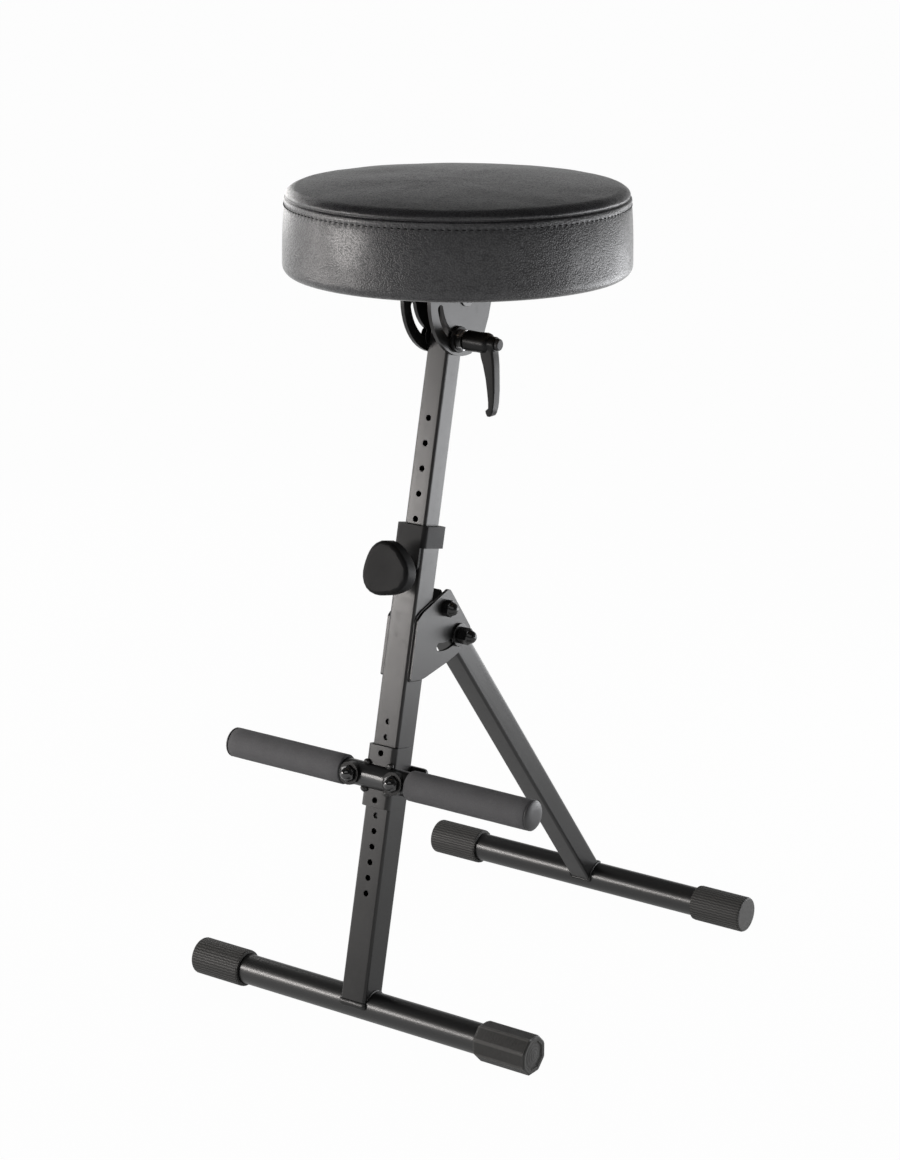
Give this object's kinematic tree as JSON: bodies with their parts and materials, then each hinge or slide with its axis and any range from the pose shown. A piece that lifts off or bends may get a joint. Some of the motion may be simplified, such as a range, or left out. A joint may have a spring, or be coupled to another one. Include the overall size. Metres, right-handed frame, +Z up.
{
  "type": "folding stool",
  "caption": "Folding performer's stool with a round padded tilting seat on a telescopic square post, a hinged rear leg, tubular feet and a sliding footrest with foam grips.",
  "frame": {"origin": "on the floor, midway between the two feet and midway along them", "axes": "+X to the sitter's right along the feet, +Y to the rear, +Z up"},
  "size_m": [0.4146, 0.4587, 0.8287],
  "materials": {
    "black_coat": "satin",
    "gloss_coat": "gloss",
    "leatherette": "satin",
    "board_wood": "matte",
    "black_plastic": "satin",
    "grey_plastic": "satin",
    "foam_rubber": "matte",
    "dark_steel": "satin",
    "zinc_steel": "satin"
  },
  "bodies": {
    "frame": {"post_tube": "black_coat", "post_collar": "black_plastic", "lock_boss": "dark_steel", "hinge_plate_left": "black_coat", "hinge_plate_right": "black_coat", "leg_pivot_bolt": "dark_steel", "leg_pivot_nut": "dark_steel", "leg_pivot_bush": "zinc_steel", "leg_washer_left": "black_plastic", "leg_washer_right": "black_plastic", "front_foot_tube": "gloss_coat", "front_cap_left": "grey_plastic"},
    "leveller": {"leveller_cap": "grey_plastic"},
    "lock_pin": {"lock_pin": "zinc_steel"},
    "lock_knob": {"lock_knob": "black_plastic"},
    "rear_leg": {"rear_leg_tube": "black_coat", "rear_leg_plug": "black_plastic", "rear_foot_tube": "gloss_coat", "rear_cap_left": "grey_plastic", "rear_cap_right": "grey_plastic", "stop_bolt": "dark_steel", "stop_washer_left": "dark_steel", "stop_washer_right": "dark_steel", "stop_nut": "dark_steel"},
    "seat_post": {"seat_tube": "black_coat", "seat_tube_glide": "black_plastic", "seat_pivot_bush": "zinc_steel", "clamp_stud": "dark_steel", "clamp_disc_left": "black_plastic", "clamp_disc_right": "black_plastic", "clamp_flange": "black_plastic"},
    "clamp": {"clamp_insert": "zinc_steel", "clamp_lever": "black_plastic"},
    "button": {"clamp_button": "grey_plastic", "clamp_spring": "zinc_steel"},
    "seat": {"seat_cushion": "leatherette", "seat_board": "board_wood", "tilt_bracket_left": "black_coat", "tilt_bracket_right": "black_coat", "seat_screw_1": "zinc_steel", "seat_screw_2": "zinc_steel", "seat_screw_3": "zinc_steel", "seat_screw_4": "zinc_steel", "seat_pivot_bolt": "dark_steel", "seat_pivot_nut": "dark_steel"},
    "footrest": {"footrest_tube": "gloss_coat", "footrest_saddle": "black_coat", "saddle_liner": "black_plastic", "footrest_strap": "black_coat", "footrest_bolt_left": "dark_steel", "footrest_bolt_right": "dark_steel", "footrest_washer_left": "dark_steel", "footrest_washer_right": "dark_steel", "footrest_nut_left": "dark_steel", "footrest_nut_right": "dark_steel", "grip_left": "foam_rubber", "grip_right": "foam_rubber", "footrest_plug_left": "grey_plastic", "footrest_plug_right": "grey_plastic"}
  },
  "joints": [
    {"name": "seat_height", "type": "slide", "parent": "frame", "child": "seat_post", "axis": [0, 0.2192, 0.9757], "range_m": [-0.15, 0.1]},
    {"name": "seat_tilt", "type": "hinge", "parent": "seat_post", "child": "seat", "pos_m": [0, -0.0566, 0.7172], "axis": [1, 0, 0], "range_deg": [0, 55]},
    {"name": "clamp_turn", "type": "hinge", "parent": "seat_post", "child": "clamp", "pos_m": [0, -0.07281, 0.67468], "axis": [1, 0, 0], "range_deg": [-20, 100]},
    {"name": "clamp_press", "type": "slide", "parent": "clamp", "child": "button", "axis": [1, 0, 0], "range_m": [-0.003, 0], "stiffness_N_per_m": 800},
    {"name": "lock_travel", "type": "slide", "parent": "frame", "child": "lock_pin", "axis": [0, -0.9757, 0.2192], "range_m": [-0.00501, 0.00001]},
    {"name": "lock_turn", "type": "hinge", "parent": "lock_pin", "child": "lock_knob", "pos_m": [0, -0.1168, 0.44917], "axis": [0, -0.9757, 0.2192], "range_deg": [-1440, 0]},
    {"name": "rear_leg_fold", "type": "hinge", "parent": "frame", "child": "rear_leg", "pos_m": [0, -0.09176, 0.40645], "axis": [-1, 0, 0], "range_deg": [0, 50.61]},
    {"name": "footrest_slide", "type": "slide", "parent": "frame", "child": "footrest", "axis": [0, 0.2192, 0.9757], "range_m": [-0.0948, 0.0316]},
    {"name": "leveller_turn", "type": "hinge", "parent": "frame", "child": "leveller", "pos_m": [0, -0.2107, 0.0187], "axis": [1, 0, 0], "continuous": true}
  ],
  "couplings": [
    {"joint": "lock_travel", "follows": "lock_turn", "m_per_rad": 0.00019894}
  ]
}
